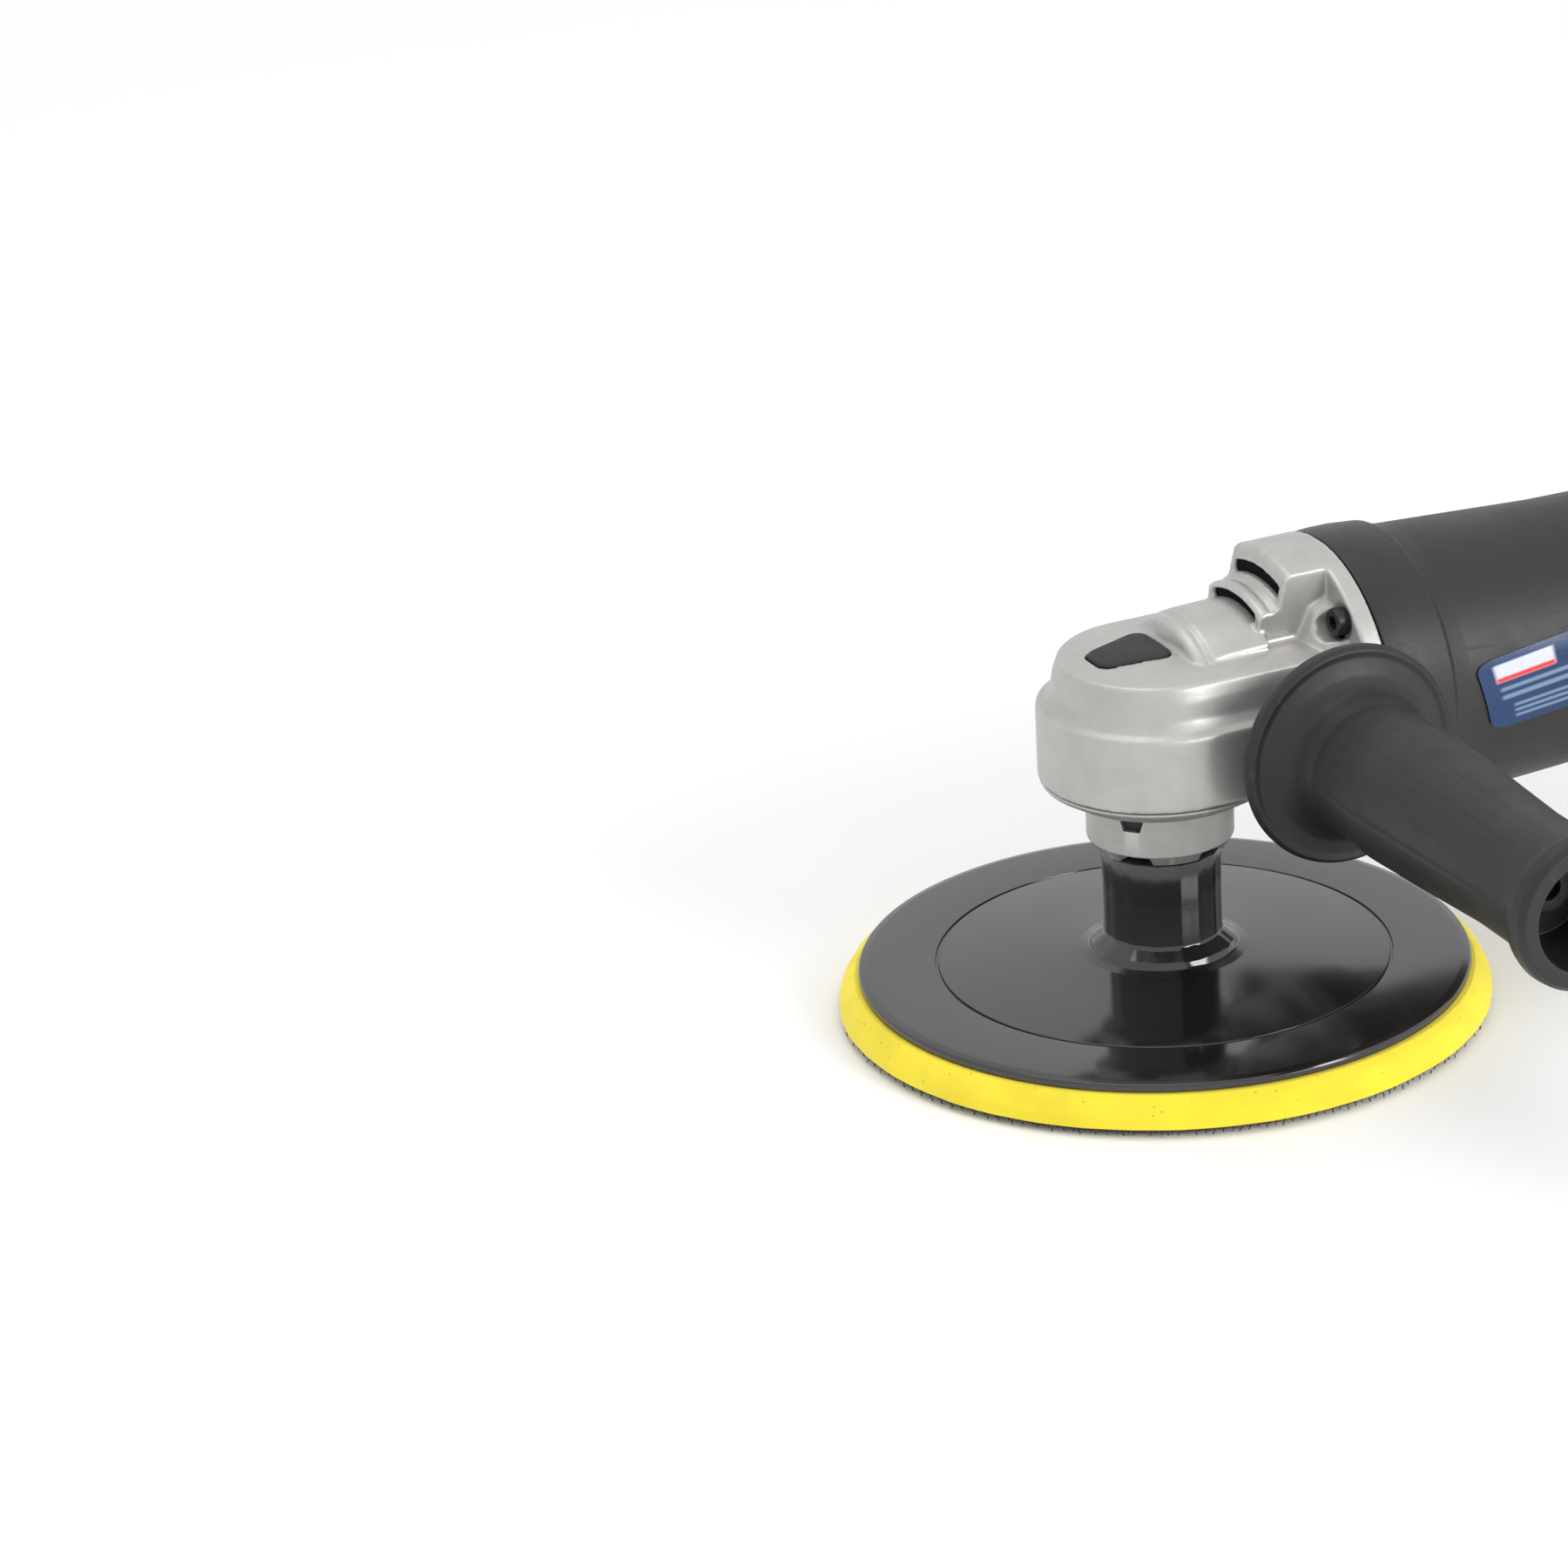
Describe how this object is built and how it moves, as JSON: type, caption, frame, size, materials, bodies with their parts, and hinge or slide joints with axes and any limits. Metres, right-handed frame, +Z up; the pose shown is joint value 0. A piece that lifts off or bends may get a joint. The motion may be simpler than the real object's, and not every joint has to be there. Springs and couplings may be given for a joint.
{
  "type": "rotary polisher",
  "caption": "Rotary polisher with a foam-backed pad under a cast right-angle gear head, a round motor body, a dished side handle and a rear grip with trigger.",
  "frame": {"origin": "middle of the pad's working face, on the spindle axis", "axes": "+Z up along the spindle, +X along the motor axis to the rear handle, side handle towards -Y"},
  "size_m": [0.4408, 0.2588, 0.1233],
  "materials": {
    "cast_aluminium": "satin, sand-cast",
    "black_nylon": "fine moulded texture",
    "gloss_nylon": "gloss",
    "yellow_foam": "closed-cell foam",
    "hook_fabric": "hook tape",
    "rubber": "matte",
    "steel": "machined",
    "dark_steel": "blackened",
    "lamination_steel": "stacked laminations",
    "copper": "enamelled winding",
    "brass": "pressed",
    "carbon": "sintered carbon",
    "label_film": "printed film"
  },
  "bodies": {
    "housing": {"armature_front_bearing": "steel", "armature_rear_bearing": "steel", "bearing_cover": "cast_aluminium", "brush_cap_left": "black_nylon", "brush_cap_right": "black_nylon", "brush_holder_left": "brass", "brush_holder_right": "brass", "carbon_brush_left": "carbon", "carbon_brush_right": "carbon", "cord_gland": "rubber", "cover_screw_1": "dark_steel", "cover_screw_2": "dark_steel", "cover_screw_3": "dark_steel", "cover_screw_4": "dark_steel", "fan_baffle": "black_nylon", "field_coil_front": "copper", "field_coil_rear": "copper", "gear_case_screw_1": "dark_steel", "gear_case_screw_2": "dark_steel", "gear_case_screw_3": "dark_steel", "gear_case_screw_4": "dark_steel", "gear_housing": "cast_aluminium", "handle_screw_1": "dark_steel", "handle_screw_2": "dark_steel", "handle_screw_3": "dark_steel", "handle_shell_left": "black_nylon", "handle_shell_right": "black_nylon", "label_left": "label_film", "label_right": "label_film", "motor_housing": "black_nylon", "side_handle_grip": "black_nylon", "side_handle_stud": "steel", "spindle_lock_spring": "steel", "spindle_lower_bearing": "steel", "spindle_seal": "rubber", "spindle_upper_bearing": "steel", "stator_core": "lamination_steel", "switch_body": "black_nylon", "trigger_pin": "steel", "trigger_spring": "steel"},
    "spindle_and_pad": {"spindle": "steel", "crown_gear": "steel", "backing_plate": "gloss_nylon", "pad_insert_nut": "steel", "pad_foam": "yellow_foam", "hook_layer": "hook_fabric"},
    "armature": {"armature_shaft": "steel", "armature_core": "lamination_steel", "armature_winding_front": "copper", "armature_winding_rear": "copper", "commutator": "copper", "cooling_fan": "black_nylon", "pinion_gear": "steel"},
    "lock_plunger": {"spindle_lock_button": "rubber", "spindle_lock_pin": "steel"},
    "trigger_lever": {"trigger": "black_nylon"},
    "lock_on": {"lock_on_button": "black_nylon"},
    "dial": {"speed_dial": "black_nylon"}
  },
  "joints": [
    {"name": "spindle_spin", "type": "hinge", "parent": "housing", "child": "spindle_and_pad", "pos_m": [0, 0, 0], "axis": [0, 0, 1], "continuous": true},
    {"name": "armature_spin", "type": "hinge", "parent": "housing", "child": "armature", "pos_m": [0, 0, 0.082], "axis": [1, 0, 0], "continuous": true},
    {"name": "spindle_lock", "type": "slide", "parent": "housing", "child": "lock_plunger", "axis": [0, 0, -1], "range_m": [0, 0.0032], "stiffness_N_per_m": 400, "springref_m": -0.003, "deforming": ["spindle_lock_spring"]},
    {"name": "trigger_pull", "type": "hinge", "parent": "housing", "child": "trigger_lever", "pos_m": [0.226, 0, 0.06], "axis": [0, -1, 0], "range_deg": [0, 5], "stiffness_Nm_per_rad": 2, "springref_deg": -5.73, "deforming": ["trigger_spring"]},
    {"name": "lock_on_press", "type": "slide", "parent": "housing", "child": "lock_on", "axis": [0, 1, 0], "range_m": [0, 0.0024], "stiffness_N_per_m": 300, "springref_m": -0.002},
    {"name": "speed_dial_turn", "type": "hinge", "parent": "housing", "child": "dial", "pos_m": [0.198, 0, 0.104], "axis": [0, 1, 0], "range_deg": [0, 270]}
  ],
  "couplings": [
    {"joint": "armature_spin", "follows": "spindle_spin", "ratio": 3.875}
  ]
}
